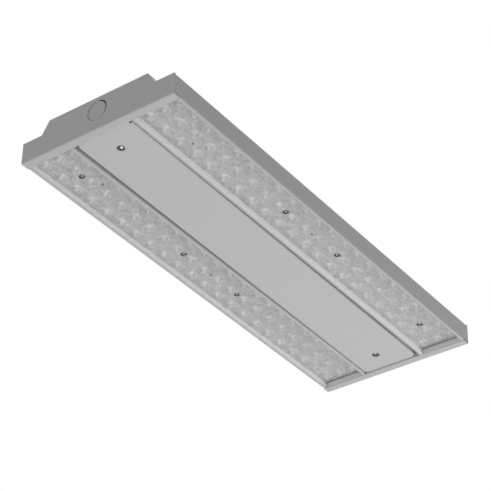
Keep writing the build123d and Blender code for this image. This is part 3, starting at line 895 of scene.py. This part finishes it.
class PENDANT_OT_folded_sheet(bpy.types.Operator):
    """Coated body, end caps, trays and cover of folded sheet"""

    bl_idname = "pendant.folded_sheet"
    bl_label = "Folded sheet"

    def execute(self, context):
        paint = context.scene.pendant_paint
        # Painted light: the strips' recess walls, the trays' walls and the end caps' inner faces
        # are coated paler where shade falls on them
        body = powder_coat(
            "lined_powder_coat", paint.colour, paint, paint.strip_painted_light, left_out=BETWEEN_STRIPS)
        cap = powder_coat("satin_powder_coat", paint.colour, paint, paint.end_painted_light)
        tray = powder_coat(
            "tray_powder_coat", paint.colour, paint, paint.strip_painted_light, foot=0.25 * MM,
            left_out=BETWEEN_STRIPS)
        # Painted light: the cover has the same paint as the body, made paler so that it renders
        # brighter
        cover = powder_coat("cover_powder_coat", shade(paint.colour, paint.cover_painted_light), paint)
        coats = {
            "housing": body, "end_cap_near": cap, "end_cap_far": cap, "led_tray_a": tray,
            "led_tray_b": tray, "gear_cover": cover}
        for node, coat in coats.items():
            bm = sheet_copy(node, paint.edge_round)
            piece = add_piece(f"coated_{node}", bm, coat, [node], sharp=40.0)
            level = piece.modifiers.new("even shading", "WEIGHTED_NORMAL")
            level.keep_sharp = True
        return {"FINISHED"}


class PENDANT_OT_lens_plates(bpy.types.Operator):
    """Clear lens plates with round lenses"""

    bl_idname = "pendant.lens_plates"
    bl_label = "Lens plates"

    def execute(self, context):
        lens = context.scene.pendant_lens
        acrylic = clear_plastic("clear_acrylic", lens)
        for strip in STRIPS:
            for end in ENDS:
                bm = lens_plate_mesh(lens, strip, end)
                add_piece(
                    f"clear_plate_{strip}_{end}", bm, acrylic,
                    [f"lens_plate_{strip}_{end}"], sharp=50.0)
        return {"FINISHED"}


class PENDANT_OT_light_sources(bpy.types.Operator):
    """Boards, light sources and their terminals"""

    bl_idname = "pendant.light_sources"
    bl_label = "Light sources"

    def execute(self, context):
        dress_nodes(BOARD_NODES, solder_mask("matt_board_mask", context.scene.pendant_lens))
        warm = moulded(
            "warm_phosphor", (0.55, 0.53, 0.44), 0.35, grain=0.0003, depth=0.004 * MM)
        bm = sunken_blocks("led_chips", 0.15 * MM, 1, 0.45 * MM, 0.12 * MM)
        add_piece("light_source_packages", bm, warm, ["led_chips"])
        dark = moulded("dark_terminal_plastic", (0.035, 0.035, 0.038), 0.42)
        for node in ("feed_terminals", "link_connectors"):
            bm = sunken_blocks(node, 0.25 * MM, 2, 0.5 * MM, 0.3 * MM)
            add_piece(f"moulded_{node}", bm, dark, [node])
        return {"FINISHED"}


class PENDANT_OT_screws(bpy.types.Operator):
    """Cross-recessed screws of the lens plates and of the cover"""

    bl_idname = "pendant.screws"
    bl_label = "Screws"

    def execute(self, context):
        sizes = context.scene.pendant_fasteners
        # Painted reflection: the steel is made dark so that the heads show the dark reflection of
        # their surroundings
        black = cast_metal("blackened_steel", sizes.colour, 0.17, 0.0012, spread=0.2)
        for kind, (name, node, *shank) in SCREWS.items():
            height = getattr(sizes, f"{kind}_head_height")
            unit = screw_mesh(getattr(sizes, f"{kind}_head_radius"), height, *shank)
            places = [
                ((low.x + high.x) / 2, (low.y + high.y) / 2, low.z + height)
                for low, high in solid_boxes(node)]
            add_piece(name, copies(unit, places), black, [node])
        return {"FINISHED"}


class PENDANT_OT_rivets(bpy.types.Operator):
    """Blind rivets of the end caps"""

    bl_idname = "pendant.rivets"
    bl_label = "Rivets"

    def execute(self, context):
        alloy = cast_metal("rivet_aluminium", (0.62, 0.62, 0.63), 0.36, 0.0015)
        boxes = solid_boxes("end_cap_rivets")
        sheet = boxes[0][1].z - RIVET_HEIGHT
        places = [((low.x + high.x) / 2, (low.y + high.y) / 2, sheet) for low, high in boxes]
        bm = copies(lathe(RIVET_OUTLINE, 28), places)
        add_piece("end_cap_blind_rivets", bm, alloy, ["end_cap_rivets"])
        dress_nodes(["bracket_rivets"], alloy)
        return {"FINISHED"}


class PENDANT_OT_inner_parts(bpy.types.Operator):
    """Brackets, driver, terminal block and the other parts inside the body"""

    bl_idname = "pendant.inner_parts"
    bl_label = "Inner parts"

    def execute(self, context):
        zinc = zinc_plate("galvanised_sheet")
        for node in ("cover_bracket_near", "cover_bracket_far"):
            add_piece(f"galvanised_{node}", sheet_copy(node), zinc, [node])
        bright = cast_metal("bright_zinc", (0.56, 0.57, 0.6), 0.3, 0.0015)
        dress_nodes(["cover_nuts", "driver_screws", "terminal_block_screws", "earth_stud"], bright)
        shell = powder_coat("driver_shell_coat", (0.62, 0.62, 0.61), context.scene.pendant_paint)
        dress_nodes(["driver_base", "driver_lid"], shell)
        ivory = moulded("ivory_terminal_plastic", (0.72, 0.71, 0.67), 0.42)
        dress_nodes(["driver_terminals", "terminal_block"], ivory)
        dress_nodes(["earth_nut"], cast_metal("turned_brass", (0.62, 0.43, 0.17), 0.3, 0.001))
        return {"FINISHED"}


class PENDANT_OT_cable_bush(bpy.types.Operator):
    """Soft bush in the cable entry"""

    bl_idname = "pendant.cable_bush"
    bl_label = "Cable bush"

    def execute(self, context):
        rubber = moulded("black_bush_rubber", (0.03, 0.03, 0.031), 0.62, grain=0.0014)
        low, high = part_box("cable_grommet")
        bore, neck, flange, flange_top, top = 4.0, 7.0, 9.5, 1.6, (high[2] - low[2]) / MM
        profile = [
            (bore + 0.35, 0.0), (flange - 0.4, 0.0), (flange, 0.4), (flange, flange_top - 0.3),
            (flange - 0.3, flange_top), (neck, flange_top), (neck, top - 0.1), (neck - 0.3, top),
            (bore + 0.5, top), (bore, top - 0.5), (bore, 0.4)]
        bm = lathe(profile, 48)
        shift_by(bm, bm.verts[:], (low[0] + high[0]) / 2, (low[1] + high[1]) / 2, low[2])
        add_piece("cable_entry_bush", bm, rubber, ["cable_grommet"])
        return {"FINISHED"}


# Stage

def seen_ray(finish):
    """1 for rays from the camera and those that come through glass or off gloss."""
    path = finish.node("ShaderNodeLightPath")
    seen = finish.maths(
        "MAXIMUM", finish.out(path, "Is Camera Ray"), finish.out(path, "Is Glossy Ray"))
    return finish.maths("MAXIMUM", seen, finish.out(path, "Is Transmission Ray"))


def surroundings(context, stage):
    """Bright below and darker above for what lights the object, plain white where it is seen."""
    world = bpy.data.worlds.new("surroundings")
    context.scene.world = world
    finish = Finish(world)
    finish.tree.nodes.clear()
    coordinates = finish.node("ShaderNodeTexCoord")
    x, y, z = finish.axes(finish.out(coordinates, "Generated"))
    level = finish.ramp(
        z * 0.5 + 0.5, (0.0, stage.below), (0.40, stage.below), (0.60, stage.above),
        (1.0, stage.above))
    level = finish.maths("MAXIMUM", level + x * stage.shift[0] + y * stage.shift[1], 0.0)
    ambient = finish.node("ShaderNodeBackground", Color=level, Strength=1.0)
    plain = finish.node("ShaderNodeBackground", Color=(1, 1, 1, 1), Strength=1.0)
    both = finish.node("ShaderNodeMixShader")
    finish.put(both.inputs[0], seen_ray(finish))
    finish.put(both.inputs[1], finish.out(ambient))
    finish.put(both.inputs[2], finish.out(plain))
    finish.node("ShaderNodeOutputWorld", Surface=finish.out(both))


def pale_floor(context, stage):
    """Plain pale floor far below the light."""
    bm = bmesh.new()
    bmesh.ops.create_grid(bm, x_segments=1, y_segments=1, size=FLOOR_HALF_WIDTH)
    shift_by(bm, bm.verts[:], z=stage.floor_height)
    colour = (0.8, 0.8, 0.8)
    finish = surface(
        "pale_floor", colour, 0.9, Emission_Color=(1, 1, 1, 1), Emission_Strength=0.55)
    finish.fill(
        finish.shader, {"Base_Color": finish.tones(finish.noise(0.4, 3.0), colour, 1.0, 1.05)})
    mesh = mesh_of(bm, "floor")
    mesh.materials.append(finish.owner)
    floor = bpy.data.objects.new("floor", mesh)
    context.scene.collection.objects.link(floor)


def area_lamp(context, name, power, place, aim, size, lights_matt):
    """Flat lamp that points at a place and isn't seen by the camera itself."""
    data = bpy.data.lights.new(name, "AREA")
    data.shape = "RECTANGLE"
    data.size, data.size_y = size
    data.energy = power
    lamp = bpy.data.objects.new(name, data)
    context.scene.collection.objects.link(lamp)
    lamp.location = place
    lamp.rotation_euler = (Vector(aim) - Vector(place)).to_track_quat("-Z", "Y").to_euler()
    lamp.visible_camera = False
    lamp.visible_diffuse = lights_matt


def aimed_camera(context, stage):
    """Camera that sees the light as the photograph does."""
    data = bpy.data.cameras.new("camera")
    data.sensor_width = 36.0
    data.lens = stage.camera_lens
    data.clip_start = 0.05
    camera = bpy.data.objects.new("camera", data)
    context.scene.collection.objects.link(camera)
    camera.location = CAMERA_PLACE
    camera.rotation_euler = [math.radians(turn) for turn in CAMERA_TURN]
    context.scene.camera = camera


class PENDANT_OT_stage(bpy.types.Operator):
    """Floor, surroundings, lamps and camera"""

    bl_idname = "pendant.stage"
    bl_label = "Stage"

    def execute(self, context):
        stage = context.scene.pendant_stage
        surroundings(context, stage)
        pale_floor(context, stage)
        for name, power, *rest in LAMPS:
            area_lamp(context, name, getattr(stage, power), *rest)
        aimed_camera(context, stage)
        context.scene.view_settings.view_transform = "Standard"
        return {"FINISHED"}


class PENDANT_PT_panel(bpy.types.Panel):
    """Steps that dress the light, in their order"""

    bl_idname = "PENDANT_PT_panel"
    bl_label = "Pendant light"
    bl_space_type = "VIEW_3D"
    bl_region_type = "UI"
    bl_category = "Pendant light"

    def draw(self, context):
        for operator in OPERATORS:
            self.layout.operator(operator.bl_idname)
        for name in SETTINGS:
            group = getattr(context.scene, name)
            box = self.layout.box()
            for key in group.__annotations__:
                box.prop(group, key)


OPERATORS = (
    PENDANT_OT_folded_sheet, PENDANT_OT_lens_plates, PENDANT_OT_light_sources,
    PENDANT_OT_screws, PENDANT_OT_rivets, PENDANT_OT_inner_parts, PENDANT_OT_cable_bush,
    PENDANT_OT_stage)
SETTINGS = {
    "pendant_paint": PaintSettings, "pendant_lens": LensSettings,
    "pendant_fasteners": FastenerSettings, "pendant_stage": StageSettings}


def register():
    for group in SETTINGS.values():
        bpy.utils.register_class(group)
    for name, group in SETTINGS.items():
        setattr(bpy.types.Scene, name, PointerProperty(type=group))
    for operator in OPERATORS + (PENDANT_PT_panel,):
        bpy.utils.register_class(operator)


def unregister():
    for operator in (PENDANT_PT_panel,) + OPERATORS[::-1]:
        bpy.utils.unregister_class(operator)
    for name, group in SETTINGS.items():
        delattr(bpy.types.Scene, name)
        bpy.utils.unregister_class(group)


def main():
    register()
    bpy.ops.pendant.folded_sheet()
    bpy.ops.pendant.lens_plates()
    bpy.ops.pendant.light_sources()
    bpy.ops.pendant.screws()
    bpy.ops.pendant.rivets()
    bpy.ops.pendant.inner_parts()
    bpy.ops.pendant.cable_bush()
    bpy.ops.pendant.stage()


if __name__ == "__main__":
    main()
